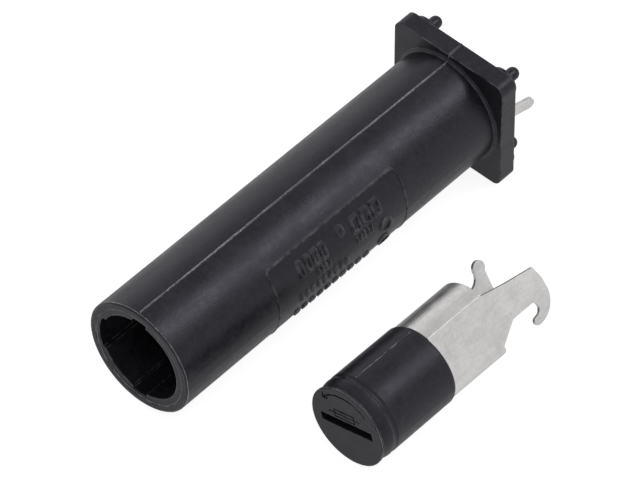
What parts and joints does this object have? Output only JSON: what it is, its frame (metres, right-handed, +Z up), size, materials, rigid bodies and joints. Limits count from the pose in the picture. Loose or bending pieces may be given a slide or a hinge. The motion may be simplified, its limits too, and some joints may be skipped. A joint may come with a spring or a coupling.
{
  "type": "cartridge fuse holder",
  "caption": "Upright board-mounted holder for a cartridge fuse, laid down, with its bayonet fuse carrier taken out and lying beside it.",
  "frame": {"origin": "on the tube's axis, in the plane of the four stand-off pads that sit on the board; also the middle of the four locating pegs", "axes": "+Y along the tube's axis from the open mouth towards the board, +X towards the carrier lying beside the tube, +Z up as the pieces lie"},
  "size_m": [0.0364, 0.0592, 0.0165],
  "materials": {
    "moulding": "satin black thermoplastic",
    "cap_moulding": "satin black thermoplastic",
    "tinned": "tin plate, satin, faintly mottled",
    "contact": "satin",
    "spring_wire": "drawn wire"
  },
  "bodies": {
    "holder": {"housing": "moulding", "side_terminal": "tinned", "centre_terminal": "tinned", "contact_spring": "spring_wire"},
    "button": {"contact_button": "contact"},
    "carrier_core": {"cap_spring": "spring_wire"},
    "carrier": {"carrier_cap": "cap_moulding", "carrier_clip": "tinned"},
    "seat": {"fuse_seat": "contact"}
  },
  "joints": [
    {"name": "contact_push", "type": "slide", "parent": "holder", "child": "button", "axis": [0, 1, 0], "range_m": [0, 0.0032], "deforming": ["contact_spring"]},
    {"name": "carrier_draw", "type": "slide", "parent": "holder", "child": "carrier_core", "axis": [0, -1, 0], "range_m": [0, 0.0419]},
    {"name": "bayonet_turn", "type": "hinge", "parent": "carrier_core", "child": "carrier", "pos_m": [0.0228, -0.0455, -0.0023], "axis": [0, 1, 0], "range_deg": [0, 40]},
    {"name": "seat_push", "type": "slide", "parent": "carrier_core", "child": "seat", "axis": [0, -1, 0], "range_m": [0, 0.0009], "deforming": ["cap_spring"]}
  ]
}
